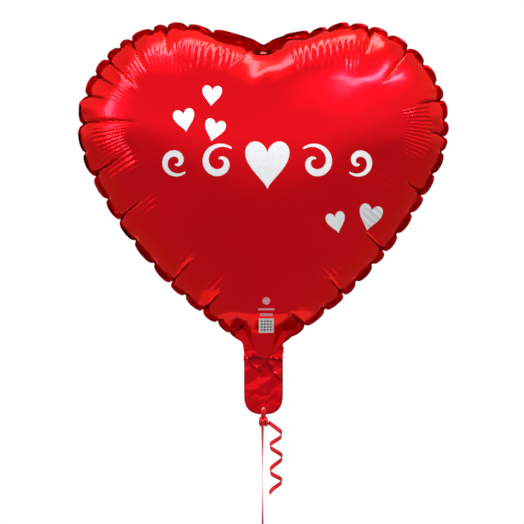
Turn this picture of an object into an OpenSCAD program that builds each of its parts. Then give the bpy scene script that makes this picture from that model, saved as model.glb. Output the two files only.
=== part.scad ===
// Heart-shaped foil balloon with a flat tail, a self-sealing valve and a curling ribbon.
// Millimetres, +Z up, printed front towards -Y. The origin is the neck, where the heart's tip meets its tail.
// Film is drawn thicker than life so that every layer is a solid of its own.

/* [Heart] */
// Radius of each lobe's outer half, out to the tips of the scallops
lobe_r = 112.5; // [106:0.5:118]
// Distance of each lobe's centre from the middle plane
lobe_x = 88; // [82:0.5:94]
// Height of the lobes' centres above the neck
lobe_z = 235; // [228:1:242]
// Radius of the flatter shoulder between a lobe's top and the cleft
shoulder_r = 169; // [150:1:185]
// Half of the inflated depth, from the seam to the crown of one panel
bulge = 88; // [60:1:100]
// Thickness of a film panel
film_t = 0.5; // [0.4:0.1:0.8]

/* [Rim] */
// Width of the welded rim at the top of a scallop
rim_w = 7; // [5:0.5:10]
// Depth of the notches between scallops
scallop_d = 4.5; // [2:0.5:4.5]
// Scallops along one half of the heart
scallops = 21; // [15:1:27]
// Thickness of the welded rim
rim_t = 0.5; // [0.4:0.1:0.8]

/* [Tail] */
// Width of the flat tail
tail_w = 42; // [38:1:48]
// Length from the neck to the end of the tail
tail_len = 77; // [72:1:84]
// Radius of the tail's lower corners
tail_corner = 15; // [8:1:17]
// Radius of the inlet hole that takes an inflation nozzle
inlet_r = 6; // [5:0.25:7]
// Radius of the punched hole that the ribbon is looped through
eye_r = 2.5; // [2.2:0.1:2.8]

/* [Valve] */
// Width of the two valve films
valve_w = 26; // [22:1:30]
// Thickness of one valve film
valve_t = 0.25; // [0.2:0.05:0.3]
// Height that the valve's tongue reaches into the balloon
tongue_len = 45; // [30:1:60]

/* [Ribbon] */
// Width of the curling ribbon
ribbon_w = 4.8; // [4:0.2:5]
// Thickness of the ribbon's solid
ribbon_t = 0.8; // [0.6:0.1:1]
// Outer radius of the curled end
curl_r = 7.5; // [6:0.5:8]
// Length of the curled end
curl_len = 72; // [50:1:90]

/* [Hidden] */

foil = "crimson";
foil_dark = "firebrick";
clear_film = "lightgrey";
ink = "white";
pale_ink = "lightpink";
dark_ink = "dimgray";
ribbon_red = "red";
fine = 48; // facets round a small bore, pin or sphere

// Plan of the heart, seen from the front as (x, z). Angles turn clockwise from straight up.
crown_z = 198;                                   // height of the deepest point of the bulge
shoulder_z = lobe_z + lobe_r - shoulder_r;
flank_from = 115;                                // angle at which a lobe runs into its flank
// The flank is the one arc that leaves the lobe smoothly and meets the corner of the neck.
flank_reach = (pow(tail_w / 2 - lobe_x, 2) + pow(lobe_z, 2) - pow(lobe_r, 2))
  / (2 * (lobe_r - (tail_w / 2 - lobe_x) * sin(flank_from) + lobe_z * cos(flank_from)));
flank_r = lobe_r + flank_reach;
flank_x = lobe_x - flank_reach * sin(flank_from);
flank_z = lobe_z - flank_reach * cos(flank_from);
shoulder_steps = 12;
lobe_steps = 22;
flank_steps = 14;
neck_steps = 4;
panel_rings = 8;

// One half of the outline, moved inwards by inset, from the cleft over the lobe and down to the neck.
function cleft_angle(inset) = -asin(lobe_x / (shoulder_r - inset));
function flank_end(inset) = 180 - asin((tail_w / 2 - flank_x) / (flank_r - inset));
function on_arc(cx, cz, r, angle) = [cx + r * sin(angle), cz + r * cos(angle)];
function half_outline(inset) = concat(
  [for (i = [0:shoulder_steps - 1])
    on_arc(lobe_x, shoulder_z, shoulder_r - inset, cleft_angle(inset) * (1 - i / shoulder_steps))],
  [for (i = [0:lobe_steps]) on_arc(lobe_x, lobe_z, lobe_r - inset, flank_from * i / lobe_steps)],
  [for (i = [1:flank_steps])
    on_arc(flank_x, flank_z, flank_r - inset,
      flank_from + (flank_end(inset) - flank_from) * i / flank_steps)]
);

seam_half = concat(half_outline(rim_w), [for (i = [1:neck_steps]) [tail_w / 2 * (1 - i / neck_steps), 0]]);
function polar(p) = [atan2(abs(p.x), p.y - crown_z), norm([p.x, p.y - crown_z])];
seam_table = [for (p = seam_half) polar(p)];
function seam_radius(angle) = lookup(angle, seam_table);
// Depth of the inflated film, as a share of the bulge, at a share of the way from the crown to the seam.
// It is blunt towards the lobes and slender towards the neck.
function fullness(angle) = 3 - 1.6 * pow(sin(angle / 2), 8);
function profile(share, angle) = sqrt(max(0, 1 - pow(min(share, 1), fullness(angle))));
function depth_at(x, z) =
  let (p = polar([x, z])) rim_t / 2 + (bulge - rim_t / 2) * profile(p[1] / seam_radius(p[0]), p[0]);

function flip(points) = [for (i = [len(points) - 1:-1:0]) [-points[i].x, points[i].y]];
function tail_of(points, skip) = [for (i = [skip:len(points) - 1]) points[i]];
// The whole closed outline, from the cleft clockwise round to the cleft.
function whole(half) = concat(half, tail_of(flip(half), abs(half[len(half) - 1].x) < 0.01 ? 1 : 0));
function without_last(points) = [for (i = [0:len(points) - 2]) points[i]];
seam_line = without_last(whole(seam_half));

// Faces of a lofted solid: rows of n points, each row a ring, closed into a loop at both ends of the list.
function ring_faces(rows, n) = [
  for (j = [0:rows - 2], i = [0:n - 1], k = [0, 1])
    let (a = j * n + i, b = j * n + (i + 1) % n, c = a + n, d = b + n)
    k == 0 ? [a, b, d] : [a, d, c]
];

// One film panel: an outer dome, an inner dome film_t inside it, and a flat foot on the welded rim.
module film_panel() {
  n = len(seam_line);
  centre = [0, crown_z];
  function dome_ring(share, inset) = [
    for (p = seam_line)
      let (d = norm(p - centre), q = centre + (p - centre) * share * (d - inset) / d)
      [q.x, -rim_t / 2 - (bulge - rim_t / 2 - inset) * profile(share, polar(p)[0]), q.y]
  ];
  shares = [for (j = [0:panel_rings - 1]) cos(90 * j / panel_rings)];
  outer = [for (s = shares) each dome_ring(s, 0)];
  inner = [for (j = [panel_rings - 1:-1:0]) each dome_ring(shares[j], film_t)];
  outer_pole = len(outer) + len(inner);
  inner_pole = outer_pole + 1;
  last_outer = (panel_rings - 1) * n;
  first_inner = panel_rings * n;
  outer_walls = ring_faces(panel_rings, n);
  inner_walls = [for (f = ring_faces(panel_rings, n)) f + [first_inner, first_inner, first_inner]];
  foot = [
    for (i = [0:n - 1], k = [0, 1])
      let (a = i, b = (i + 1) % n, c = first_inner + last_outer + i, d = first_inner + last_outer + b)
      k == 0 ? [a, d, b] : [a, c, d]
  ];
  polyhedron(
    concat(outer, inner, [[0, -bulge, crown_z], [0, -bulge + film_t, crown_z]]),
    concat(outer_walls, inner_walls, foot,
      [for (i = [0:n - 1]) [last_outer + i, last_outer + (i + 1) % n, outer_pole]],
      [for (i = [0:n - 1]) [first_inner + (i + 1) % n, first_inner + i, inner_pole]]),
    convexity = 6
  );
}

module front_panel() {
  color(foil) film_panel();
}

module back_panel() {
  color(foil) mirror([0, 1, 0]) film_panel();
}

// Lays a flat (x, z) drawing down with its thickness from y = from towards +Y.
module plate(from, thickness) {
  translate([0, from + thickness, 0]) rotate([90, 0, 0]) linear_extrude(thickness) children();
}

// The welded margin of both panels, notched where the shrinking film gathers it.
module rim_seal() {
  rim_half = half_outline(0);
  steps = len(rim_half) - 1;
  dense = 6;
  rim_points = [
    for (i = [0:steps - 1], k = [0:dense - 1])
      rim_half[i] + (rim_half[i + 1] - rim_half[i]) * k / dense
  ];
  count = len(rim_points);
  centre = [0, crown_z];
  notched = [
    for (i = [0:count - 1])
      let (p = rim_points[i], d = norm(p - centre),
        pull = scallop_d * (1 - abs(sin(180 * scallops * i / count))))
      centre + (p - centre) * (d - pull) / d
  ];
  corner = [tail_w / 2, 0];
  color(foil_dark) plate(-rim_t / 2, rim_t) difference() {
    polygon(concat(notched, [corner], [[-corner.x, 0]], tail_of(flip(notched), 0)));
    polygon([for (p = seam_line) let (d = norm(p - centre)) centre + (p - centre) * (d - 1) / d]);
    translate([-valve_w / 2, -1]) square([valve_w, 3]);
  }
}

module valve_tongue(side) {
  color(clear_film) plate(side > 0 ? 0 : -rim_t / 2, rim_t / 2)
    translate([-valve_w / 2, 0]) square([valve_w, tongue_len]);
}

// Printed ink: a thin layer that follows the bulge, drawn from a star-shaped outline about its own centre.
ink_gap = 0.05;
ink_t = 0.3;
function on_front(p, lift) = [p.x, -depth_at(p.x, p.y) - lift, p.y];
module ink_spot(at, outline, foot = ink_gap) {
  n = len(outline);
  shares = [1, 0.6, 0.25];
  function layer(lift, order) = [for (s = order) each [for (p = outline) on_front(at + p * s, lift)]];
  rows = len(shares);
  reversed = [for (i = [rows - 1:-1:0]) shares[i]];
  base = rows * n;
  bottom_pole = 2 * base;
  polyhedron(
    concat(layer(foot, reversed), layer(foot + ink_t, shares),
      [on_front(at, foot), on_front(at, foot + ink_t)]),
    concat(ring_faces(2 * rows, n),
      [for (i = [0:n - 1]) [(i + 1) % n, i, bottom_pole]],
      [for (i = [0:n - 1]) [2 * base - n + i, 2 * base - n + (i + 1) % n, bottom_pole + 1]]),
    convexity = 4
  );
}

function turned(p, angle) = [p.x * cos(angle) + p.y * sin(angle), p.y * cos(angle) - p.x * sin(angle)];
// A slim hand-drawn heart, width w, leaning clockwise by angle.
function heart_outline(w, angle) = [
  for (t = [0:15:345])
    turned([w / 2 * pow(sin(t), 3), w * (0.46 * cos(t) - 0.2 * cos(2 * t) - 0.07 * cos(3 * t) - 0.02 * cos(4 * t))],
      angle)
];
upper_hearts = [[[-54, 264], 19, 4], [[-83, 238], 20, -10], [[-51, 227], 20, 14]];
lower_hearts = [[[76, 131], 19, -14], [[113, 137], 23, 12]];
module print_hearts(hearts) {
  color(ink) for (h = hearts) ink_spot(h[0], heart_outline(h[1], h[2]));
}

// A stroke of ink along a path, each point with its own half width.
module ink_stroke(path, half_widths) {
  n = len(path);
  function side(i) =
    let (d = path[min(i + 1, n - 1)] - path[max(i - 1, 0)]) [-d.y, d.x] / norm(d);
  rows = [
    for (i = [0:n - 1])
      let (a = path[i] + side(i) * half_widths[i], b = path[i] - side(i) * half_widths[i])
      [on_front(a, ink_gap), on_front(b, ink_gap), on_front(b, ink_gap + ink_t), on_front(a, ink_gap + ink_t)]
  ];
  polyhedron(
    [for (r = rows) each r],
    concat(ring_faces(n, 4),
      [[2, 1, 0], [3, 2, 0]],
      [[4 * n - 4, 4 * n - 3, 4 * n - 2], [4 * n - 4, 4 * n - 2, 4 * n - 1]]),
    convexity = 6
  );
}

// A scroll: a spiral of the given turn that opens from its eye, swelling in the middle of the stroke.
scroll_steps = 26;
function scroll_path(at, r_eye, r_out, from, turn) = [
  for (i = [0:scroll_steps])
    let (u = i / scroll_steps) at + (r_eye + (r_out - r_eye) * u) * [cos(from + turn * u), sin(from + turn * u)]
];
function swell(least, most) = [for (i = [0:scroll_steps]) least + (most - least) * sin(180 * i / scroll_steps)];
module print_flourish() {
  middle = [4, 193];
  color(ink) {
    ink_spot(middle, heart_outline(46, 0));
    for (side = [-1, 1]) {
      ink_stroke(scroll_path(middle + [side * 50, -1], 4, 19, 90, side * 400), swell(0.9, 3.6));
      ink_stroke(scroll_path(middle + [side * 96, 0], 3, 15, -90, -side * 400), swell(0.9, 3.2));
    }
  }
}

function box_outline(w, h, steps) = concat(
  [for (i = [0:steps - 1]) [w / 2, h / 2 - h * i / steps]],
  [for (i = [0:steps - 1]) [w / 2 - w * i / steps, -h / 2]],
  [for (i = [0:steps - 1]) [-w / 2, -h / 2 + h * i / steps]],
  [for (i = [0:steps - 1]) [-w / 2 + w * i / steps, h / 2]]
);
function disc_outline(r, step = 30) = [for (t = [0:step:360 - step]) [r * sin(t), r * cos(t)]];
module print_marks() {
  color(pale_ink) {
    ink_spot([3, 47], disc_outline(4));
    ink_spot([3, 38], box_outline(17, 2, 3));
    ink_spot([3, 32], box_outline(13, 3, 3));
  }
}

patch_at = [3, 20];
patch_size = 16;
module print_patch() {
  color(ink) ink_spot(patch_at, box_outline(patch_size, patch_size, 4));
}

// A plain grid of dots, on top of the patch.
module print_dots() {
  dots = 4;
  dot_r = 1;
  pitch = patch_size / (dots + 1);
  color(dark_ink) for (i = [0:dots - 1], j = [0:dots - 1])
    ink_spot(patch_at + pitch * [i - (dots - 1) / 2, j - (dots - 1) / 2], disc_outline(dot_r, 45),
      2 * ink_gap + ink_t);
}

// The tail: two films, the valve between them, and the welds that fill the rest of the gap.
fold_z = -2;                                     // axis that the tail folds about
tail_top = 2 * fold_z;
valve_gap = 0.2;
core_t = 2 * valve_t + valve_gap;
valve_end = -52;
inlet_z = -38;
eye_z = -tail_len + 5;
module tail_plan() {
  half = tail_w / 2;
  translate([-half, -tail_len + tail_corner]) square([tail_w, tail_len - tail_corner + tail_top]);
  translate([-half + tail_corner, -tail_len]) square([tail_w - 2 * tail_corner, tail_corner + 1]);
  for (side = [-1, 1]) translate([side * (half - tail_corner), -tail_len + tail_corner]) circle(tail_corner, $fn = 96);
}

module eye_hole() {
  translate([0, eye_z]) circle(eye_r, $fn = fine);
}

// The valve film is punched wider than the outer film, so that the nozzle finds its way between the two.
valve_hole_extra = 1;
module inlet_hole(extra = 0) {
  translate([0, inlet_z]) circle(inlet_r + extra, $fn = fine);
}

module tail_front_film() {
  color(foil) plate(-core_t / 2 - film_t, film_t) difference() {
    tail_plan();
    eye_hole();
  }
}

module tail_back_film() {
  color(foil) plate(core_t / 2, film_t) difference() {
    tail_plan();
    eye_hole();
    inlet_hole();
  }
}

module tail_side_seals() {
  color(foil_dark) plate(-core_t / 2, core_t) for (side = [0, 1]) mirror([side, 0])
    translate([valve_w / 2, valve_end]) square([(tail_w - valve_w) / 2, tail_top - valve_end]);
}

module tail_end_seal() {
  color(foil_dark) plate(-core_t / 2, core_t) difference() {
    intersection() {
      tail_plan();
      translate([-tail_w, -2 * tail_len]) square([2 * tail_w, 2 * tail_len + valve_end]);
    }
    eye_hole();
  }
}

module valve_plan(width, top, bottom) {
  translate([-width / 2, bottom]) square([width, top - bottom]);
}

module valve_front_film() {
  color(clear_film) plate(-core_t / 2, valve_t) valve_plan(valve_w, tail_top, valve_end);
}

module valve_back_film() {
  color(clear_film) plate(core_t / 2 - valve_t, valve_t) difference() {
    valve_plan(valve_w, tail_top, valve_end);
    inlet_hole(valve_hole_extra);
  }
}

weld_w = 3;
channel_w = valve_w - 2 * weld_w;
module valve_weld_lines() {
  color(clear_film) plate(-valve_gap / 2, valve_gap) {
    for (side = [0, 1]) mirror([side, 0])
      translate([channel_w / 2, valve_end]) square([weld_w, tail_top - valve_end]);
    translate([-channel_w / 2, valve_end]) square([channel_w, weld_w]);
  }
}

// The coating that keeps the channel from welding shut, from the inlet up to the fold.
module valve_release_strip() {
  color(dark_ink) plate(-valve_gap / 2, valve_gap) valve_plan(channel_w, tail_top, inlet_z + inlet_r + valve_hole_extra);
}

// Sweeps a flat eight-sided ribbon section along a path. across is the unit vector of the ribbon's width.
function unit(v) = v / norm(v);
section = [[-1, -0.5], [-0.75, -1], [0.75, -1], [1, -0.5], [1, 0.5], [0.75, 1], [-0.75, 1], [-1, 0.5]];
module ribbon_sweep(path, across, width) {
  n = len(path);
  sides = len(section);
  rings = [
    for (i = [0:n - 1])
      let (along = unit(path[min(i + 1, n - 1)] - path[max(i - 1, 0)]), w = unit(across[i]), h = cross(along, w))
      for (s = section) path[i] + w * s.x * width / 2 + h * s.y * ribbon_t / 2
  ];
  polyhedron(rings, concat(
    ring_faces(n, sides),
    [for (k = [1:sides - 2]) [0, k + 1, k]],
    [for (k = [1:sides - 2]) [(n - 1) * sides, (n - 1) * sides + k, (n - 1) * sides + k + 1]]), convexity = 4);
}

// The ribbon is looped through the eye and knotted under the tail's end.
knot_r = 6;
knot_z = -tail_len - 7.5;
loop_w = 3.2;
loop_route = [
  [0, -1, knot_z + 3.5], [0, -2.2, knot_z + 6], [0, -2.6, knot_z + 8.5], [0, -2.2, eye_z - 1.6],
  [0, -1, eye_z - 0.1], [0, 0, eye_z + 0.2], [0, 1, eye_z - 0.1],
  [0, 2.2, eye_z - 1.6], [0, 2.6, knot_z + 8.5], [0, 2.2, knot_z + 6], [0, 1, knot_z + 3.5]
];
module ribbon_loop() {
  color(ribbon_red) ribbon_sweep(loop_route, [for (p = loop_route) [1, 0, 0]], loop_w);
}

// A barrel of wound ribbon, round the same axis that the hanging ribbon swings about.
module ribbon_knot() {
  barrel = 4.4;
  turn_r = 1.6;
  color(ribbon_red) translate([0, 0, knot_z]) rotate([0, 90, 0]) {
    cylinder(h = 2 * barrel, r = knot_r - 1.4, center = true, $fn = fine);
    for (x = [-barrel + turn_r, 0, barrel - turn_r])
      rotate_extrude($fn = fine) translate([knot_r - turn_r, x]) circle(turn_r, $fn = 24);
    for (side = [-1, 1]) translate([0, 0, side * (barrel - 0.6)]) cylinder(h = 2.4, r1 = 3.6, r2 = 3.6, center = true, $fn = fine);
  }
}

// The straight ribbon turns by half a turn on its way down. It ends in a knotted hand loop.
ribbon_route = [
  [-1, 0, -91], [-1, 0, -98], [-1, 0, -108], [-1, 0, -118], [-1, 0, -128], [-1, 0, -138],
  [-1, 0, -148], [-1, 0, -158], [-1, 0, -168], [-1, 0, -178], [-1, 0, -190], [-1, 0, -202]
];
function twist_across(i, steps) = let (a = -20 + 180 * i / steps) [cos(a), sin(a), 0];
module ribbon() {
  steps = len(ribbon_route) - 1;
  color(ribbon_red) ribbon_sweep(ribbon_route, [for (i = [0:steps]) twist_across(i, steps)], ribbon_w);
}

hand_knot_r = 4;
hand_knot_top = -202;
hand_knot_h = 7;
module hand_loop_knot() {
  color(ribbon_red) translate([-1, 0, hand_knot_top - hand_knot_h / 2]) {
    cylinder(h = hand_knot_h, r = hand_knot_r - 1, center = true, $fn = fine);
    rotate_extrude($fn = fine) translate([hand_knot_r - 2, 0]) circle(2, $fn = 24);
  }
}

// A teardrop of ribbon below its knot, wide enough for two fingers.
hand_loop_route = [
  [0, 0, -209], [1.5, 0, -213], [4.5, 0, -219], [7.5, 0, -226], [10, 0, -233], [11.5, 0, -240],
  [11.5, 0, -247], [9.5, 0, -253], [5, 0, -257.5], [-1, 0, -259], [-7, 0, -257.5], [-11.5, 0, -253],
  [-13.5, 0, -247], [-13.5, 0, -240], [-12, 0, -233], [-9.5, 0, -226], [-6.5, 0, -219],
  [-3.5, 0, -213], [-2, 0, -209]
];
module hand_loop() {
  color(ribbon_red) ribbon_sweep(hand_loop_route, [for (p = hand_loop_route) [0, 1, 0]], ribbon_w);
}

// The curled end keeps to this outer shape, beside the straight ribbon.
curl_x = 13.5;
curl_top = -93;
module curled_end() {
  color(ribbon_red) translate([curl_x, 0, curl_top - curl_len]) cylinder(h = curl_len, r = curl_r, $fn = 32);
}

front_panel();
back_panel();
rim_seal();
valve_tongue(-1);  // valve_tongue_front
valve_tongue(1);  // valve_tongue_back
print_hearts(upper_hearts);  // print_hearts_upper
print_hearts(lower_hearts);  // print_hearts_lower
print_flourish();
print_marks();
print_patch();
print_dots();
tail_front_film();
tail_back_film();
tail_side_seals();
tail_end_seal();
valve_front_film();
valve_back_film();
valve_weld_lines();
valve_release_strip();
ribbon_loop();
ribbon_knot();
ribbon();
hand_loop_knot();
hand_loop();
curled_end();
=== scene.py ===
from math import asin, cos, pi, radians, sin, sqrt

import bpy
import numpy as np
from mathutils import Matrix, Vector
from mathutils.bvhtree import BVHTree
from mathutils.geometry import delaunay_2d_cdt


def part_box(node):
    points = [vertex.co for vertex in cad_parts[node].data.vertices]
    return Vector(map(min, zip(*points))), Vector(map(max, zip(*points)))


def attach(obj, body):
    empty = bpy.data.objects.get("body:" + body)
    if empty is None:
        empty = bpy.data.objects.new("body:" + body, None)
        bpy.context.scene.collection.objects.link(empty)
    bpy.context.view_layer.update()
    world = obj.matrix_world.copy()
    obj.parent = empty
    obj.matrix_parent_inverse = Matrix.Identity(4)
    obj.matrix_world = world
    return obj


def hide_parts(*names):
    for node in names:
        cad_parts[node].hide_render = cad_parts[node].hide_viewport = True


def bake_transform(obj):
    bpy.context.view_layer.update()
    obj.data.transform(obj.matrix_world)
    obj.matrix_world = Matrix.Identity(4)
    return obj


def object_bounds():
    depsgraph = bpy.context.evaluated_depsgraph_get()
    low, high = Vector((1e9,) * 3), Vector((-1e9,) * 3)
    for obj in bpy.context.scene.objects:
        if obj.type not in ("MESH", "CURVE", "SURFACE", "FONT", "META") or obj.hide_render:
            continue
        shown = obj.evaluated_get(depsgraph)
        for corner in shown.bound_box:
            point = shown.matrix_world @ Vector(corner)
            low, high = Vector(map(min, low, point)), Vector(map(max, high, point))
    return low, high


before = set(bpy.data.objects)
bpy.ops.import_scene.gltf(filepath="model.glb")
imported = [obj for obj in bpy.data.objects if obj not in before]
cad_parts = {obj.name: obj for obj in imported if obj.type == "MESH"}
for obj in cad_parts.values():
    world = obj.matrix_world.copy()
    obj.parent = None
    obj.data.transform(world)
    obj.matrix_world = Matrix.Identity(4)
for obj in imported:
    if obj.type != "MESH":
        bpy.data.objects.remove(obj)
CAD_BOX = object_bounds()
SCENE = bpy.context.scene
MM = 0.001

# The heart's plan at rest, as in the CAD model. All lengths are in metres.
TAIL_LOW, TAIL_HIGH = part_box("tail_front_film")
TAIL_HALF = TAIL_HIGH.x
TAIL_LEN = -TAIL_LOW.z
TAIL_CORNER = 15 * MM
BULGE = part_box("back_panel")[1].y
LOBE_X, LOBE_R, LOBE_Z, SHOULDER_R = 88 * MM, 112.5 * MM, 235 * MM, 169 * MM
FLANK_FROM = radians(115)
CROWN = np.array([0.0, 198 * MM])
RIM_W, TAIL_WELD = 7 * MM, 1.3 * MM

# The flat cut of the film. It is larger than the inflated heart, because inflation gathers the rim.
GROW = 1.235
CLEFT_FILL, CLEFT_WIDE = 15 * MM, 45 * MM
GRAIN = 3.3 * MM          # spacing of the film's points near the rim
COARSE_FROM = 78 * MM     # depth from the rim where the spacing doubles
FRONT, BACK, WELD = 0, 1, 2

# The finish of the inflated film.
EASE_FROM, EASE_OVER, EASE_PASSES = 7 * MM, 16 * MM, 45
FIT = 0.9                 # how closely the rim meets the outline
NICK_DEPTH = 4.2 * MM
CLEFT_DIP = 4.5 * MM      # how far the shoulders sag below their arc beside the cleft

# Gathers along the rim, as distances in mm from the cleft along each side of the inflated outline.
PLEATS = {
    -1: [103, 146, 181, 226, 260, 321, 375, 460, 510, 553],
    1: [113, 163, 231, 273, 343, 415, 478, 536],
}
NICKS = {
    -1: [58, 82, 103, 122, 146, 163, 181, 203, 226, 260, 292,
         321, 348, 375, 404, 432, 460, 486, 510, 532, 553],
    1: [53, 70, 92, 113, 139, 163, 190, 212, 231, 254, 273, 292,
        315, 343, 366, 390, 415, 436, 458, 478, 508, 536, 555],
}

EYE_Z = -72 * MM
EYE_R = 2.5 * MM
INLET_Z = -38 * MM
INLET_R = 6 * MM
KNOT_Z = -84.5 * MM
RIBBON_T = 0.25 * MM


# -------- camera
def make_camera():
    """Level with the middle of the picture, far enough away for a flat, long-lens view."""
    wide, distance, lens = 566.5 * MM, 2.3, 85.0
    cam = bpy.data.cameras.new("camera")
    cam.lens = lens
    cam.sensor_width = lens * wide / distance
    cam.clip_end = 50
    obj = linked("camera", cam)
    obj.location = (-1.6 * MM, -distance, 88 * MM)
    obj.rotation_euler = (pi / 2, 0, 0)
    SCENE.camera = obj


# -------- mesh helpers
def linked(name, data):
    """An object in the scene that holds the data."""
    obj = bpy.data.objects.new(name, data)
    SCENE.collection.objects.link(obj)
    return obj


def discard(obj):
    mesh = obj.data
    bpy.data.objects.remove(obj)
    bpy.data.meshes.remove(mesh)


def add_piece(name, points, faces):
    mesh = bpy.data.meshes.new(name)
    mesh.from_pydata([tuple(map(float, p)) for p in points], [], faces)
    mesh.validate()
    mesh.update()
    mesh.polygons.foreach_set("use_smooth", [True] * len(mesh.polygons))
    return linked(name, mesh)


def finish(piece, material, slot, body, *nodes):
    """Gives a piece its material, the body it rides on and the CAD nodes it stands in for. The slot is not
    used.
    """
    material(piece)
    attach(piece, body)
    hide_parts(*nodes)


def unit(v):
    v = np.asarray(v, float)
    return v / np.maximum(np.linalg.norm(v, axis=-1, keepdims=True), 1e-12)


def rise(x):
    """Goes smoothly from 0 to 1 as x does."""
    x = np.clip(x, 0, 1)
    return x * x * (3 - 2 * x)


def spline(points, per_span=8):
    """A smooth line through the points."""
    p = np.asarray(points, float)
    p = np.vstack([2 * p[0] - p[1], p, 2 * p[-1] - p[-2]])
    out = []
    for a, b, c, d in zip(p[:-3], p[1:-2], p[2:-1], p[3:]):
        for t in np.arange(per_span) / per_span:
            bow, twist = 2 * a - 5 * b + 4 * c - d, 3 * b - a - 3 * c + d
            out.append(0.5 * (2 * b + (c - a) * t + bow * t * t + twist * t ** 3))
    out.append(p[-2])
    return np.array(out)


def distances(path):
    """How far along the path each of its points is."""
    return np.concatenate([[0], np.cumsum(np.linalg.norm(np.diff(path, axis=0), axis=1))])


def strip_section(width, thickness, camber=0.0):
    """Outline of a flat ribbon's section, rounded at its two edges."""
    w, t = width / 2, thickness / 2
    top = [(w * s, t + camber * (1 - s * s)) for s in (0.92, 0.6, 0.2, -0.2, -0.6, -0.92)]
    low = [(w * s, -t + camber * (1 - s * s)) for s in (-0.92, -0.6, -0.2, 0.2, 0.6, 0.92)]
    return [(w, 0.0)] + top + [(-w, 0.0)] + low


def sweep(name, path, across, section, closed=False, widths=None):
    """A strip along a path. across has the direction of its width at each point, and widths its scale."""
    path, across = np.asarray(path, float), unit(across)
    n, m = len(path), len(section)
    if closed:
        along = unit(np.roll(path, -1, 0) - np.roll(path, 1, 0))
    else:
        along = unit(np.gradient(path, axis=0))
    across = unit(across - (across * along).sum(1)[:, None] * along)
    up = np.cross(along, across)
    widths = np.ones(n) if widths is None else widths
    points = [path[i] + across[i] * s * widths[i] + up[i] * t for i in range(n) for s, t in section]
    faces = []
    for i in range(n if closed else n - 1):
        for k in range(m):
            a, b = i * m + k, i * m + (k + 1) % m
            c, d = (i + 1) % n * m + k, (i + 1) % n * m + (k + 1) % m
            faces.append((a, c, d, b))
    if not closed:
        faces.append(tuple(range(m)))
        faces.append(tuple(reversed(range((n - 1) * m, n * m))))
    return add_piece(name, points, faces)


# -------- ribbon
RIBBON_ROUTE = [
    [-1, 0, -87.5], [-1, 0, -91], [-1, 0, -98], [-1, 0, -108], [-1, 0, -118], [-1, 0, -128], [-1, 0, -138],
    [-1, 0, -148], [-1, 0, -158], [-1, 0, -168], [-1, 0, -178], [-1, 0, -190], [-1, 0, -202],
]
HAND_LOOP_ROUTE = [
    [0, 0, -209], [1.5, 0, -213], [4.5, 0, -219], [7.5, 0, -226], [10, 0, -233], [11.5, 0, -240],
    [11.5, 0, -247], [9.5, 0, -253], [5, 0, -257.5], [-1, 0, -259], [-7, 0, -257.5], [-11.5, 0, -253],
    [-13.5, 0, -247], [-13.5, 0, -240], [-12, 0, -233], [-9.5, 0, -226], [-6.5, 0, -219],
    [-3.5, 0, -213], [-2, 0, -209],
]
LOOP_ROUTE = [
    [0, -1, -81], [0, -2.2, -78.5], [0, -2.6, -76], [0, -2.3, -72.4], [0, -1.2, -70.5], [0, 0, -70],
    [0, 1.2, -70.5], [0, 2.3, -72.4], [0, 2.6, -76], [0, 2.2, -78.5], [0, 1, -81],
]
RIBBON_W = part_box("hand_loop")[1].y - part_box("hand_loop")[0].y
WOUND_T, WOUND_CAMBER = 0.5 * MM, 0.45 * MM
CURL_LOW, CURL_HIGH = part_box("curled_end")


def wound_knot(name, centre, radius, half, axis, turns):
    """A small knot: a round core with bands of ribbon wound over it.

    Each turn has its place along the axis, its slant, its size and its width."""
    axis = unit(axis)
    side = unit(np.cross(axis, [0, 0, 1]) if abs(axis[2]) < 0.9 else np.cross(axis, [1, 0, 0]))
    other = np.cross(axis, side)
    parts = []
    ring = np.linspace(0, 2 * pi, 40, endpoint=False)
    for place, slant, size, width in turns:
        r = radius * size
        path = [np.array(centre) + side * r * cos(a) + other * r * sin(a)
                + axis * (half * place + slant * half * sin(a + 2 * place)) for a in ring]
        section = strip_section(width, WOUND_T, WOUND_CAMBER)
        parts.append(sweep(f"{name}_turn", path, [axis] * len(path), section, closed=True))
    rows, cols = 10, 28
    points, faces = [], []
    for i in range(rows + 1):
        b = pi * i / rows
        for k in range(cols):
            a = 2 * pi * k / cols
            r = 0.86 * radius * sin(b)
            points.append(np.array(centre) + axis * half * 1.1 * cos(b)
                          + side * r * cos(a) + other * r * sin(a))
    for i in range(rows):
        for k in range(cols):
            a, b = i * cols + k, i * cols + (k + 1) % cols
            faces.append((a, b, b + cols, a + cols))
    parts.append(add_piece(name + "_core", points, faces))
    return join(parts, name)


def join(parts, name):
    """One object made of several."""
    points, faces, base = [], [], 0
    for part in parts:
        points += [v.co.copy() for v in part.data.vertices]
        faces += [tuple(base + i for i in p.vertices) for p in part.data.polygons]
        base = len(points)
        discard(part)
    return add_piece(name, points, faces)


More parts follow.
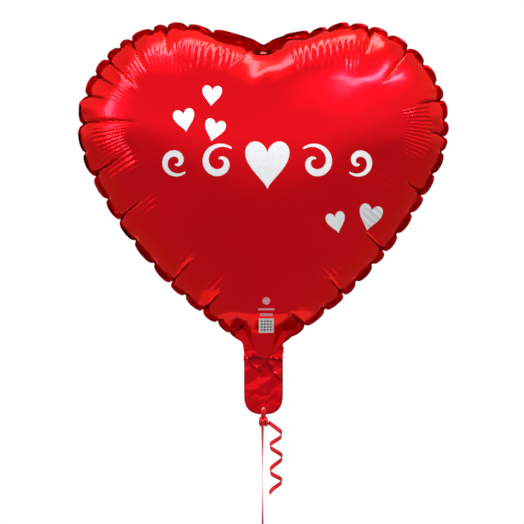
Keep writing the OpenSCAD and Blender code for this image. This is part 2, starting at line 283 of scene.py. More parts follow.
def make_ribbon(gloss):
    """The straight ribbon turns slowly, runs through the lower knot and comes back to it as a hand loop."""
    straight = spline(np.array(RIBBON_ROUTE) * MM, 6)
    loop = spline(np.array(HAND_LOOP_ROUTE) * MM, 6)
    path = np.vstack([straight, loop])
    turn = np.radians(48) + np.radians(74) * np.arange(len(straight)) / len(straight)
    across = [[cos(a), sin(a), 0] for a in turn]
    lean = 0.5 * np.sin(np.linspace(0, 2 * pi, len(loop)))
    across += [[s * 0.6, 1, 0] for s in lean]
    ribbon = sweep("ribbon_line", path, across, strip_section(RIBBON_W, RIBBON_T))
    turns = [(-0.6, 0.25, 0.9, 3.0 * MM), (0.0, -0.35, 1.05, 3.2 * MM), (0.6, 0.3, 0.9, 3.0 * MM)]
    knot = wound_knot("hand_knot", (-1 * MM, 0, -205.5 * MM), 3.3 * MM, 2.6 * MM, (0, 0, 1), turns)
    finish(ribbon, gloss, "ribbon", "ribbon", "ribbon", "hand_loop")
    finish(knot, gloss, "ribbon", "ribbon", "hand_loop_knot")


def make_curl(gloss):
    """The free end: three turns of a helix of flat ribbon, loosening a little towards its tip."""
    axis_x = (CURL_LOW.x + CURL_HIGH.x) / 2
    radius = (CURL_HIGH.x - CURL_LOW.x) / 2 - 0.9 * MM
    pitch, turns, per_turn = 26 * MM, 2.62, 44
    start_z = CURL_HIGH.z - 1 * MM
    path, across = [], []
    for i in range(int(turns * per_turn) + 1):
        a = 2 * pi * i / per_turn
        r = radius * (1 - 0.06 * sin(0.7 * a))
        z = start_z - pitch * a / (2 * pi) - 1.2 * MM * sin(a * 0.8)
        path.append([axis_x + r * cos(a - 0.9), r * sin(a - 0.9), z])
        across.append([0.25 * cos(a), 0.1, 1])
    knot_side, bend = np.array([[5.2, 0, -85.5], [7.2, -1.5, -86.5]]) * MM
    first = np.array(path[0])
    lead = spline([knot_side, bend, 0.55 * first + 0.45 * bend, first], 5)[:-1]
    path = np.vstack([lead, path])
    across = [[0.3, 0.2, 1]] * len(lead) + across
    curl = sweep("curl_line", path, across, strip_section(RIBBON_W * 0.92, RIBBON_T, 0.1 * MM))
    finish(curl, gloss, "ribbon", "curl", "curled_end")


def make_tie(gloss):
    """The loop through the punched hole, bunched where it passes the hole's edge, and the knot below it."""
    route = spline(np.array(LOOP_ROUTE) * MM, 6)
    bunched = 1 - 0.42 * np.exp(-((route[:, 2] - route[:, 2].max()) / (1.3 * MM)) ** 2)
    section = strip_section(5.4 * MM, 0.5 * MM, 0.5 * MM)
    loop = sweep("tie_loop", route, [[1, 0, 0]] * len(route), section, widths=bunched)
    turns = [(-0.75, 0.3, 0.86, 3.0 * MM), (0.0, -0.45, 1.0, 3.4 * MM), (0.7, 0.35, 0.88, 3.0 * MM)]
    knot = wound_knot("tie_knot", (0, 0, KNOT_Z), 5.4 * MM, 3.4 * MM, (1, 0, 0), turns)
    finish(loop, gloss, "ribbon", "tie", "ribbon_loop")
    finish(knot, gloss, "ribbon", "tie", "ribbon_knot")


# -------- film: its flat cut
def half_outline():
    """One side of the inflated heart, from the cleft over the lobe and down to the neck."""
    shoulder_z = LOBE_Z + LOBE_R - SHOULDER_R
    cleft = -asin(LOBE_X / SHOULDER_R)
    dx = TAIL_HALF - LOBE_X
    reach = (dx * dx + LOBE_Z ** 2 - LOBE_R ** 2) / (
        2 * (LOBE_R - dx * sin(FLANK_FROM) + LOBE_Z * cos(FLANK_FROM)))
    flank_r = LOBE_R + reach
    fx, fz = LOBE_X - reach * sin(FLANK_FROM), LOBE_Z - reach * cos(FLANK_FROM)
    last = pi - asin((TAIL_HALF - fx) / flank_r)
    arcs = [(LOBE_X, shoulder_z, SHOULDER_R, np.linspace(cleft, 0, 60, endpoint=False)),
            (LOBE_X, LOBE_Z, LOBE_R, np.linspace(0, FLANK_FROM, 120, endpoint=False)),
            (fx, fz, flank_r, np.linspace(FLANK_FROM, last, 80))]
    return np.vstack([np.stack([x + r * np.sin(a), z + r * np.cos(a)], 1) for x, z, r, a in arcs])


def grown(half):
    """The same line on the flat cut."""
    g = half.copy()
    g[:, 0] = np.where(g[:, 0] > TAIL_HALF, TAIL_HALF + (g[:, 0] - TAIL_HALF) * GROW, g[:, 0])
    g[:, 1] = g[:, 1] * GROW + CLEFT_FILL * np.exp(-(g[:, 0] / CLEFT_WIDE) ** 2) * (half[:, 1] > LOBE_Z)
    return g


def flat_outline():
    """The outer edge of the flat net, clockwise from the cleft."""
    heart = grown(half_outline())
    straight = TAIL_LEN - TAIL_CORNER
    side = [(TAIL_HALF, -z) for z in np.linspace(0, straight, 30)[1:]]
    bend = [(TAIL_HALF - TAIL_CORNER * (1 - cos(a)), -straight - TAIL_CORNER * sin(a))
            for a in np.linspace(0, pi / 2, 12)[1:]]
    end = [(x, -TAIL_LEN) for x in np.linspace(TAIL_HALF - TAIL_CORNER, 0, 5)[1:]]
    half = np.vstack([heart, side + bend + end])
    return np.vstack([half, half[-2:0:-1] * [-1, 1]])


def resampled(loop, step):
    closed = np.vstack([loop, loop[:1]])
    s = distances(closed)
    n = int(round(s[-1] / step))
    t = np.arange(n) * s[-1] / n
    return np.stack([np.interp(t, s, closed[:, k]) for k in (0, 1)], axis=1)


def softened(loop, times):
    for _ in range(times):
        loop = 0.5 * loop + 0.25 * (np.roll(loop, 1, 0) + np.roll(loop, -1, 0))
    return loop


def weld_line(loop):
    """The inner edge of the weld: RIM_W inside the heart's edge and TAIL_WELD inside the tail's."""
    t = unit(np.roll(loop, -1, 0) - np.roll(loop, 1, 0))
    by = TAIL_WELD + (RIM_W - TAIL_WELD) * rise((loop[:, 1] - 2 * MM) / (14 * MM))
    return loop + by[:, None] * np.stack([t[:, 1], -t[:, 0]], axis=1)


def nearest_on(points, line, closed):
    """For each point, the distance to a line and how far along the line its nearest place is."""
    line = np.vstack([line, line[:1]]) if closed else line
    s = distances(line)
    best, where = np.full(len(points), 1e9), np.zeros(len(points))
    for i in range(len(line) - 1):
        a, ab = line[i], line[i + 1] - line[i]
        t = np.clip(((points - a) @ ab) / (ab @ ab), 0, 1)
        d = np.linalg.norm(points - a - t[:, None] * ab, axis=1)
        hit = d < best
        best[hit] = d[hit]
        where[hit] = s[i] + t[hit] * (s[i + 1] - s[i])
    return best, where


def is_inside(points, loop):
    a, b = loop, np.roll(loop, -1, 0)
    odd = np.zeros(len(points), bool)
    for i in range(len(a)):
        if a[i, 1] == b[i, 1]:
            continue
        spans = (a[i, 1] > points[:, 1]) != (b[i, 1] > points[:, 1])
        x = (b[i, 0] - a[i, 0]) * (points[:, 1] - a[i, 1]) / (b[i, 1] - a[i, 1]) + a[i, 0]
        odd ^= spans & (points[:, 0] < x)
    return odd


def circle(x, z, r, n):
    a = np.arange(n) * 2 * pi / n
    return np.stack([x + r * np.sin(a), z + r * np.cos(a)], axis=1)


def lattice(low, high, step, rng):
    """Points of a slightly irregular triangular grid, and which of them belong to one twice as coarse."""
    rows, coarse = [], []
    for j in range(int((high[1] - low[1]) / (step * 0.866)) + 2):
        for i in range(int((high[0] - low[0]) / step) + 2):
            rows.append((low[0] + (i + 0.5 * (j % 2)) * step, low[1] + j * step * 0.866))
            coarse.append(i % 2 == 0 and j % 2 == 0)
    rows = np.array(rows)
    return rows + rng.uniform(-0.2, 0.2, rows.shape) * step, np.array(coarse)


def triangulated(points, loops, keep):
    """Delaunay triangles of points that start with the closed loops, kept where keep says."""
    edges, base = [], 0
    for loop in loops:
        edges += [(base + i, base + (i + 1) % len(loop)) for i in range(len(loop))]
        base += len(loop)
    out = delaunay_2d_cdt([Vector(p / MM) for p in points], edges, [], 0, 1e-4)
    place, tris = np.array([tuple(v) for v in out[0]]) * MM, out[2]
    if len(place) != len(points):
        raise RuntimeError(f"the triangulation turned {len(points)} points into {len(place)}")
    middle = np.array([place[list(t)].mean(0) for t in tris])
    kept = [t for t, k in zip(tris, keep(middle)) if k]
    facing = []
    for a, b, c in kept:
        u, v = place[b] - place[a], place[c] - place[a]
        facing.append((a, b, c) if u[0] * v[1] - u[1] * v[0] > 0 else (a, c, b))
    return facing


def flat_film():
    """Both panels and the tail as one flat net: the outer edge, the weld line and the points inside it."""
    rng = np.random.default_rng(3)
    outer = softened(resampled(flat_outline(), GRAIN), 3)
    seam = softened(weld_line(outer), 1)
    eye = circle(0, EYE_Z, EYE_R, 16)
    inlet = circle(0, INLET_Z, INLET_R, 24)
    grid, coarse = lattice(seam.min(0), seam.max(0), GRAIN, rng)
    ok = is_inside(grid, seam)
    grid, coarse = grid[ok], coarse[ok]
    depth, _ = nearest_on(grid, seam, True)
    clear, edge = np.ones(len(grid), bool), 1.6 * MM
    for z, r in ((EYE_Z, EYE_R), (INLET_Z, INLET_R)):
        away = np.hypot(grid[:, 0], grid[:, 1] - z)
        clear &= (away > r + edge) | ((away < r - edge) & (z == INLET_Z))
    keep = (depth > 0.55 * GRAIN) & ((depth < COARSE_FROM) | coarse) & clear
    inner = np.vstack([eye, inlet, grid[keep]])
    points = np.vstack([seam, inner])
    tris = triangulated(
        points, [seam, eye, inlet],
        lambda q: is_inside(q, seam) & (np.hypot(q[:, 0], q[:, 1] - EYE_Z) > EYE_R))
    n, m = len(outer), len(inner)
    mid = (outer + seam) / 2
    faces, kind = [], []
    for t in tris:
        q = points[list(t)].mean(0)
        faces.append([2 * n + i for i in t])
        kind.append(FRONT)
        if np.hypot(q[0], q[1] - INLET_Z) > INLET_R:
            faces.append([2 * n + i if i < n else 2 * n + i + m for i in reversed(t)])
            kind.append(BACK)
    for i in range(n):
        k = (i + 1) % n
        faces += [[i, n + i, n + k, k], [n + i, 2 * n + i, 2 * n + k, n + k]]
        kind += [WELD, WELD]
    flat = np.vstack([outer, mid, seam, inner, inner])
    inner_depth, _ = nearest_on(inner, seam, True)
    return {
        "flat": flat, "faces": faces, "kind": np.array(kind), "rim": 2 * n,
        "depth": np.concatenate([np.zeros(3 * n), inner_depth, inner_depth]),
        "side": np.concatenate([np.zeros(3 * n), -np.ones(m), np.ones(m)]),
    }


# -------- film: inflation
def along_rim(flat):
    """Each flat point's side of the heart, its place along the rim in mm and its depth from the edge."""
    half = half_outline()
    line = grown(half)
    deep, where = nearest_on(np.stack([np.abs(flat[:, 0]), flat[:, 1]], 1), line, False)
    return np.where(flat[:, 0] < 0, -1, 1), np.interp(where, distances(line), distances(half) / MM), deep


def gathers(side, place, lists, width):
    """1 at a gather of the rim, falling to 0 within a few mm of it."""
    out = np.zeros(len(place))
    for s in (-1, 1):
        gap = np.min(np.abs(place[:, None] - np.array(lists[s], float)[None]), axis=1)
        out = np.where(side == s, np.exp(-(gap / width) ** 2), out)
    return out


def tail_gap(x, z):
    """Half the distance between the films: room for the valve in its channel, nearly none in the welds."""
    channel = rise((15 * MM - np.abs(x)) / (2 * MM)) * rise((z + 55 * MM) / (3 * MM))
    return 0.25 * MM + 0.55 * MM * channel


def start_shape(film):
    """A gently domed and gathered heart, from which the gas brings the film to its own shape."""
    flat = film["flat"]
    side, place, deep = along_rim(flat)
    heart = np.clip((flat[:, 1] + 5 * MM) / (25 * MM), 0, 1)
    pleat = gathers(side, place, PLEATS, 6) * heart
    nick = gathers(side, place, NICKS, 5) * heart
    shrink = 1 - 0.1 * heart
    x, z = flat[:, 0] * shrink, flat[:, 1] * shrink
    inwards = unit(CROWN - np.stack([x, z], 1))
    pull = 5 * MM * (pleat * np.exp(-deep / (30 * MM)) + 0.6 * nick * np.exp(-deep / (8 * MM)))
    dome = np.sqrt(1 - (1 - np.clip(film["depth"] / (110 * MM), 0, 1)) ** 2.2)
    pillow = film["side"] * 45 * MM * dome * heart * (1 - 0.8 * pleat * np.exp(-film["depth"] / (22 * MM)))
    y = pillow + film["side"] * tail_gap(x, z)
    rim = np.arange(len(flat)) < film["rim"]
    outer = np.arange(len(flat)) < film["rim"] // 2
    y = y * (film["depth"] > 0) + 3 * MM * (nick - 0.5) * heart * rim * np.where(outer, 1.0, 0.5)
    return np.stack([x + inwards[:, 0] * pull, y, z + inwards[:, 1] * pull], 1)


def inflated(film):
    """The film under gas pressure, by cloth simulation. The tail is held flat, as its valve keeps it."""
    scale = 10.0    # the solver works better on a large, slow cloth
    frames = 45
    flat = film["flat"]
    mesh = bpy.data.meshes.new("film_sim")
    mesh.from_pydata((start_shape(film) * scale).tolist(), [], film["faces"])
    obj = linked("film_sim", mesh)
    obj.shape_key_add(name="Basis")
    rest = obj.shape_key_add(name="rest")
    rest.data.foreach_set("co", (np.stack([flat[:, 0], np.zeros(len(flat)), flat[:, 1]], 1) * scale).ravel())
    gas = obj.vertex_groups.new(name="gas")
    held = obj.vertex_groups.new(name="held")
    share = (film["depth"] > 0) * np.clip((flat[:, 1] + 22 * MM) / (24 * MM), 0, 1)
    for i in range(len(flat)):
        gas.add([i], float(share[i]), "REPLACE")
        if flat[i, 1] < -26 * MM:
            held.add([i], 1.0, "REPLACE")
    cloth = obj.modifiers.new("cloth", "CLOTH")
    c = cloth.settings
    c.quality, c.mass, c.air_damping = 8, 0.01, 5.0
    c.tension_stiffness = c.compression_stiffness = 1500
    c.shear_stiffness, c.bending_stiffness = 750, 0.03
    c.tension_damping = c.compression_damping = c.shear_damping = 5
    c.bending_damping = 0.5
    c.use_pressure, c.uniform_pressure_force = True, 10
    c.vertex_group_pressure, c.vertex_group_mass = "gas", "held"
    c.rest_shape_key = rest
    c.effector_weights.gravity = 0
    cloth.collision_settings.use_collision = False
    cloth.point_cache.frame_start, cloth.point_cache.frame_end = 1, frames
    for number in range(1, frames + 1):
        SCENE.frame_set(number)
    points, _ = evaluated(obj)
    discard(obj)
    SCENE.frame_set(1)
    return points / scale


def evaluated(obj):
    """An object's points and the corners of its faces, after its modifiers."""
    mesh = obj.evaluated_get(bpy.context.evaluated_depsgraph_get()).to_mesh()
    points, corners = np.empty(len(mesh.vertices) * 3), np.empty(len(mesh.loops), np.int32)
    mesh.vertices.foreach_get("co", points)
    mesh.loops.foreach_get("vertex_index", corners)
    return points.reshape(-1, 3), corners


def eased(points, film):
    """Takes the shallow wrinkles out of the middle of the panels, where the real film is drawn tight."""
    pairs = {(min(a, b), max(a, b)) for f in film["faces"] for a, b in zip(f, f[1:] + f[:1])}
    pairs = np.array(sorted(pairs))
    a, b = pairs[:, 0], pairs[:, 1]
    count = np.maximum(np.bincount(pairs.ravel(), minlength=len(points)), 1)[:, None]
    _, _, deep = along_rim(film["flat"])
    heart = rise((film["flat"][:, 1] - 12 * MM) / (40 * MM))
    weight = (0.9 * rise((deep - EASE_FROM) / EASE_OVER) * heart)[:, None]
    p = points.copy()
    for _ in range(EASE_PASSES):
        mean = np.zeros_like(p)
        np.add.at(mean, a, p[b])
        np.add.at(mean, b, p[a])
        p += weight * (mean / count - p)
    return p


def polar(x, z):
    """Angle and distance from the middle of the heart's crown."""
    return np.arctan2(x, z - CROWN[1]), np.hypot(x, z - CROWN[1])


def to_outline(points, film):
    """Fits the inflated film to the heart's own outline and depth. The gathers stay, as shallow nicks."""
    p = points.copy()
    ring = film["rim"] // 2
    outer = np.arange(len(p)) < ring
    for k in (0, ring):
        p[k:k + ring] = softened(p[k:k + ring], 2)
    half = half_outline()
    half[:, 1] -= CLEFT_DIP * np.sin(pi * np.clip(half[:, 0] / LOBE_X, 0, 1)) * (half[:, 1] > LOBE_Z)
    whole = np.vstack([half[::-1] * [-1, 1], half[1:]])
    goal_angle, goal_far = polar(*whole.T)
    heart = rise((p[:, 2] + 5 * MM) / (40 * MM))
    p[:, 1] *= 1 + (BULGE / np.abs(p[:, 1]).max() - 1) * heart
    side, place, deep = along_rim(film["flat"])
    edge = outer & (film["flat"][:, 1] > 12 * MM)

    # First the whole heart, by a ratio that changes slowly round the rim.
    angle, far = polar(p[:, 0], p[:, 2])
    order = np.argsort(angle[edge])
    ratio = (np.interp(angle[edge], goal_angle, goal_far) / far[edge])[order]
    steps = np.radians(np.arange(-180, 181, 3))
    spread = np.exp(-((steps[:, None] - angle[edge][order][None]) / radians(5)) ** 2)
    smooth_ratio = (spread * ratio).sum(1) / np.maximum(spread.sum(1), 1e-9)
    smooth_ratio[spread.sum(1) < 0.3] = 1
    rim_far = np.interp(angle, goal_angle, goal_far)
    grow = 1 + (np.interp(angle, steps, smooth_ratio) - 1) * rise(far / rim_far) * heart
    p[:, 0] *= grow
    p[:, 2] = CROWN[1] + (p[:, 2] - CROWN[1]) * grow

    # Then the rim itself, so that its gathers are nicks between scallops.
    angle, far = polar(p[:, 0], p[:, 2])
    goal = np.interp(angle, goal_angle, goal_far)
    for s in (-1, 1):
        rim = edge & (side == s)
        order = np.argsort(place[rim])
        short = np.interp(place, place[rim][order], (goal - far)[rim][order])
        move = FIT * short * np.exp(-(deep / (20 * MM)) ** 1.5) * (side == s) * heart
        p[:, 0] += move * np.sin(angle)
        p[:, 2] += move * np.cos(angle)

    # The neck keeps the width of the tail.
    for s in (-1, 1):
        rim = outer & (side == s) & (film["flat"][:, 1] < 60 * MM)
        order = np.argsort(p[rim, 2])
        now = np.interp(p[:, 2], p[rim, 2][order], np.abs(p[rim, 0])[order])
        goal_x = np.interp(p[:, 2], half[::-1, 1], half[::-1, 0])
        fit = rise((45 * MM - p[:, 2]) / (25 * MM)) * rise((p[:, 2] + 45 * MM) / (15 * MM))
        p[:, 0] *= np.where(side == s, 1 + (goal_x / np.maximum(now, 5 * MM) - 1) * fit, 1)

    gap = tail_gap(p[:, 0], p[:, 2])
    low = p[:, 2] < 2 * MM
    p[:, 1] = np.where(low & (film["side"] > 0), np.maximum(p[:, 1], gap), p[:, 1])
    p[:, 1] = np.where(low & (film["side"] < 0), np.minimum(p[:, 1], -gap), p[:, 1])
    return p


def subdivided(points, faces, levels=2):
    """The points and faces of the net after smooth subdivision."""
    mesh = bpy.data.meshes.new("net")
    mesh.from_pydata(points.tolist(), [], faces)
    obj = linked("net", mesh)
    obj.modifiers.new("subdivide", "SUBSURF").levels = levels
    co, corners = evaluated(obj)
    discard(obj)
    return co, corners.reshape(-1, 4)


def normals_of(points, quads):
    n = np.cross(points[quads[:, 2]] - points[quads[:, 0]], points[quads[:, 3]] - points[quads[:, 1]])
    out = np.zeros_like(points)
    for k in range(4):
        np.add.at(out, quads[:, k], n)
    return unit(out)


def waves(x, z, seed, count, long, short):
    """Smooth noise from a few plane waves with lengths between long and short."""
    rng = np.random.default_rng(seed)
    out = np.zeros(len(x))
    for _ in range(count):
        a, w, f = rng.uniform(0, 2 * pi), rng.uniform(short, long), rng.uniform(0, 2 * pi)
        out += np.sin(2 * pi * (x * cos(a) + z * sin(a)) / w + f)
    return out / sqrt(count)


# Creases that run in from the rim: place along the rim and length, in mm.
CREASES = {
    -1: [(0, 26), (103, 50), (146, 66), (181, 80), (203, 52), (226, 50), (260, 100), (321, 66), (375, 62),
         (460, 70), (510, 50), (553, 40)],
    1: [(0, 26), (113, 50), (163, 78), (231, 56), (273, 40), (343, 44), (415, 60), (478, 48), (536, 42)],
}

# Bands of fine ripples: side, first and last place along the rim, first and last depth, height, all in mm.
RIPPLES = [
    (-1, -20, 100, 30, 74, 0.27), (-1, 100, 146, 30, 62, 0.2), (-1, 146, 182, 34, 66, 0.2),
    (-1, 181, 228, 42, 74, 0.22), (-1, 262, 345, 26, 82, 0.28), (-1, 350, 520, 38, 76, 0.12),
    (1, -20, 110, 28, 74, 0.27), (1, 110, 128, 26, 56, 0.18), (1, 158, 174, 34, 70, 0.18),
    (1, 226, 330, 28, 76, 0.27), (1, 350, 530, 36, 74, 0.12),
]


def ripple_height(flat, side, place, deep):
    noise = waves(flat[:, 0], flat[:, 1], 5, 6, 60 * MM, 25 * MM)
    comb = 1.4 * np.sin(2 * pi * (place / 6.2) + 0.4 * noise)
    comb = comb + 0.3 * np.sin(2 * pi * (place / 13) + 1.1 * noise)
    height = np.zeros(len(flat))
    for s, first, last, near, far, high in RIPPLES:
        along = rise((place - first) / 12) * rise((last - place) / 12)
        across = rise((deep / MM - near) / 8) * rise((far + 4 * noise - deep / MM) / 14)
        height = np.maximum(height, (side == s) * along * across * high * MM * (1 + 0.25 * noise))
    return height * comb


def crease_height(side, place, deep):
    """Sharp valleys at the creases and, near the rim, small pillows between the nicks."""
    out = np.zeros(len(place))
    mm = deep / MM
    for s, creases in CREASES.items():
        for at, long in creases:
            near = (side == s) & (np.abs(place - at) < 30) & (mm < long + 10)
            gap = np.abs(place[near] - at)
            along = rise((long - mm[near]) / (0.4 * long)) * rise((mm[near] - 5) / 4)
            out[near] -= along * MM * (2.2 * np.exp(-gap / 1.4) + 1.9 * np.exp(-gap / 8))
    small = gathers(side, place, NICKS, 3.0) - 0.35
    return out - 0.9 * MM * small * rise((mm - 5) / 4) * np.exp(-np.clip(mm - 7, 0, None) / 9)


def rim_nicks(side, place, deep):
    """How far the rim is drawn in at its nicks."""
    nick = 0.7 * gathers(side, place, NICKS, 1.8) + 0.45 * gathers(side, place, NICKS, 6)
    return NICK_DEPTH * nick * np.exp(-(deep / (6 * MM)) ** 1.5)


def cleft_roll(side, place, deep):
    """Beside the cleft the weld stands up behind the film, so that a crescent of it shows."""
    mm = deep / MM
    along = rise((place - 2) / 14) * rise((66 - place) / 22)
    raised = 1.5 * np.exp(-mm / 5)
    sunk = 5.0 * rise((mm - 6) / 5) * np.exp(-np.clip(mm - 12, 0, None) / 16)
    return along * MM * (raised - sunk)


# Sharp folds across the top of the tail, each as two ends (x, z) in mm and a height in mm.
NECK_FOLDS = [
    ((-18, -16), (19, -18), -2.0), ((-17, -18), (-3, -29), -1.7), ((2, -20), (18, -36), -1.7),
    ((-8, -25), (9, -24), -1.3), ((-14, -33), (-3, -37), 0.8), ((1, -36), (1, -66), 0.8),
    ((-11, -40), (0, -49), 0.6), ((0, -49), (10, -39), 0.6), ((12, -50), (4, -64), -0.4),
    ((-15, -52), (-7, -60), -0.4),
]


def warped(x, z):
    """Places (x, z) on the tail, shifted a little, so that no fold there runs quite straight."""
    shift_x, shift_z = (1.5 * MM * waves(x, z, seed, 5, 40 * MM, 16 * MM) for seed in (11, 12))
    return np.stack([x + shift_x, z + shift_z], 1)


def from_fold(place, start, end):
    """How far each place on the tail is from a fold."""
    return nearest_on(place, np.array([start, end]) * MM, False)[0]


def crumple(x, z):
    """Sideways shift of the tail's crushed film, the same for every layer of the tail."""
    place = warped(x, z)
    rng = np.random.default_rng(21)
    out = np.zeros(len(x))
    for length, high in ((29, 0.65), (22, 0.5), (16, 0.36), (11, 0.18)):
        a, f = rng.uniform(0, pi), rng.uniform(0, 1)
        t = (place[:, 0] * cos(a) + place[:, 1] * sin(a)) / (length * MM) + f
        out += high * MM * (4 * np.abs(t - np.floor(t) - 0.5) - 1)
    for start, end, high in NECK_FOLDS:
        out += high * MM * np.exp(-from_fold(place, start, end) / (2.4 * MM))
    calm = 1 - 0.75 * rise((-z - 62 * MM) / (8 * MM))
    return out * rise((6 * MM - z) / (20 * MM)) * calm


def neck_shape(co, deep):
    """The y of each point, with the heart's tip as a ridged cone that narrows on to the tail's flat top."""
    x, y, z = co.T
    share = rise((36 * MM - z) / (26 * MM)) * rise((deep - TAIL_WELD) / (3 * MM))
    share = share * (z > -26 * MM)
    half = np.interp(z / MM, [-24, 8, 36], [2, 17, 34]) * MM
    high = np.interp(z / MM, [-24, -12, 10, 36], [0, 2.5, 12, 27]) * MM
    cone = high * np.clip(1 - (x / half) ** 2, 0, 1) ** 0.8
    ridge = 2.6 * MM * np.exp(-np.abs(x) / (3.0 * MM)) * rise((z + 24 * MM) / (12 * MM))
    goal = tail_gap(x, z) + cone + ridge * rise((32 * MM - z) / (20 * MM))
    return y + (np.sign(y) * goal - y) * share


def fold_shade(flat, side, place, deep, co):
    """Painted crease shade for the foil's colour: 1 in the bottom of a crease, where no light gets in between
    the films, falling to 0 beside it.
    """
    out = 0.5 * gathers(side, place, NICKS, 1.0) * rise((14 - deep / MM) / 6) * (deep > RIM_W)
    for s, creases in CREASES.items():
        for at, long in creases:
            gap = np.abs(place - at)
            along = rise((long - deep / MM) / (0.5 * long)) * (deep > RIM_W - 1 * MM)
            out = np.maximum(out, (side == s) * (gap < 8) * along * np.exp(-(gap / 0.95) ** 2))
    out = out * rise((flat[:, 1] - 6 * MM) / (20 * MM))
    on_tail = warped(co[:, 0], co[:, 2])
    for start, end, high in NECK_FOLDS:
        if high < -1:
            away = from_fold(on_tail, start, end)
            out = np.maximum(out, -0.38 * high * np.exp(-(away / (-1.15 * high * MM)) ** 2))
    return out


def make_film():
    """The front film, the back film and the weld between them, with the flat area and size of one film."""
    film = flat_film()
    points = to_outline(eased(inflated(film), film), film)
    co, quads = subdivided(points, film["faces"])
    flat3 = np.stack([film["flat"][:, 0], film["side"] * 0.01, film["flat"][:, 1]], 1)
    flat, _ = subdivided(flat3, film["faces"])
    flat = flat[:, [0, 2]]
    kind = np.concatenate([np.full(4 * len(f), k) for f, k in zip(film["faces"], film["kind"])])
    side, place, deep = along_rim(flat)
    heart = rise((flat[:, 1] - 6 * MM) / (20 * MM))
    height = ripple_height(flat, side, place, deep) + crease_height(side, place, deep)
    co += normals_of(co, quads) * (height * heart)[:, None]
    angle, _ = polar(co[:, 0], co[:, 2])
    out = (cleft_roll(side, place, deep) - rim_nicks(side, place, deep)) * heart
    co[:, 0] += out * np.sin(angle)
    co[:, 2] += out * np.cos(angle)
    co[:, 1] = neck_shape(co, deep)
    co[:, 1] += crumple(co[:, 0], co[:, 2])
    # Painted shade of the creases, kept on each piece as its fold attribute, which darkens the foil's colour.
    fold = fold_shade(flat, side, place, deep, co)
    pieces = []
    for name, k in (("front_film", FRONT), ("back_film", BACK), ("rim_weld", WELD)):
        chosen = quads[kind == k]
        used, packed = np.unique(chosen, return_inverse=True)
        pieces.append(add_piece(name, co[used], packed.reshape(-1, 4).tolist()))
        pieces[-1].data.attributes.new("fold", "FLOAT", "POINT").data.foreach_set("value", fold[used])
    outline = flat_outline()
    nxt = np.roll(outline, -1, 0)
    area = abs(float((outline[:, 0] * nxt[:, 1] - nxt[:, 0] * outline[:, 1]).sum())) / 2
    size = tuple(float(v) for v in outline.max(0) - outline.min(0))
    return (*pieces, area, size)


def triangles_in(loops, holes, step, seed):
    """Points and triangles that fill closed loops, less their holes, evenly."""
    every = loops + holes
    edge = np.vstack(every)
    grid, _ = lattice(edge.min(0), edge.max(0), step, np.random.default_rng(seed))

    def filled(q):
        out = np.zeros(len(q), bool)
        for loop in loops:
            out |= is_inside(q, loop)
        for hole in holes:
            out &= ~is_inside(q, hole)
        return out

    clear = filled(grid)
    for loop in every:
        clear &= nearest_on(grid, loop, True)[0] > 0.5 * step
    points = np.vstack([edge, grid[clear]])
    return points, triangulated(points, every, filled)


# -------- the valve inside the tail
VALVE_LOW, VALVE_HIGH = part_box("valve_front_film")
TONGUE_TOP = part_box("valve_tongue_front")[1].z
VALVE_WELD_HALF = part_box("valve_weld_lines")[1].x
VALVE_WELD_W = 3 * MM
PLATE_T = 0.2 * MM


def box_loop(x, low, high, step):
    """An upright rectangle of half width x."""
    return resampled(np.array([[-x, high], [x, high], [x, low], [-x, low]]), step)


def tongue_sway(z):
    """The loose valve tongue leans a little inside the balloon."""
    t = np.clip(z / TONGUE_TOP, 0, 1)
    return 2.2 * MM * t * t * np.sin(3.2 * t)


def crushed_layer(name, loops, holes, y, material, thick=0.0):
    """A layer of the tail: an open film at depth y, or a thin plate, that follows the tail's crumples."""
    points, tris = triangles_in(loops, holes, 1.6 * MM, 8)
    sway = crumple(points[:, 0], points[:, 1]) + tongue_sway(points[:, 1])
    front = np.stack([points[:, 0], y + sway - thick / 2, points[:, 1]], 1)
    if thick == 0:
        piece = add_piece(name, front, tris)
    else:
        back = front + [0, thick, 0]
        n, base, faces = len(points), 0, list(tris)
        faces += [tuple(n + i for i in reversed(t)) for t in tris]
        for loop in loops + holes:
            m = len(loop)
            faces += [(base + i, base + (i + 1) % m, n + base + (i + 1) % m, n + base + i) for i in range(m)]
            base += m
        piece = add_piece(name, np.vstack([front, back]), faces)
    material(piece)
    return piece


def bend_with_tail(piece):
    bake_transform(piece)


def make_valve(clear, coat):
    """Two clear films from above the weld's end up into the balloon, welded along their sides and end."""
    plan = [box_loop(VALVE_HIGH.x, VALVE_LOW.z, TONGUE_TOP, 1.6 * MM)]
    hole = [circle(0, INLET_Z, INLET_R + 1 * MM, 28)]
    for side, y, holes in (("front", -0.26 * MM, []), ("back", 0.26 * MM, hole)):
        film = crushed_layer(f"valve_{side}", plan, holes, y, clear)
        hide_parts(f"valve_{side}_film", f"valve_tongue_{side}")
        bend_with_tail(film)
    outer, inner = VALVE_WELD_HALF, VALVE_WELD_HALF - VALVE_WELD_W
    top, end = VALVE_HIGH.z, VALVE_LOW.z
    u_shape = resampled(np.array([
        [-outer, top], [-inner, top], [-inner, end + VALVE_WELD_W], [inner, end + VALVE_WELD_W],
        [inner, top], [outer, top], [outer, end], [-outer, end]]), 1.5 * MM)
    welds = crushed_layer("valve_welds", [u_shape], [], 0, clear, PLATE_T)
    low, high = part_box("valve_release_strip")
    plan = [box_loop(high.x, low.z, high.z, 1.5 * MM)]
    strip = crushed_layer("release_strip", plan, [], 0, coat, PLATE_T)
    for piece, node, slot in (
            (welds, "valve_weld_lines", "valve_film"), (strip, "valve_release_strip", "release_coat")):
        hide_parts(node)
        bend_with_tail(piece)


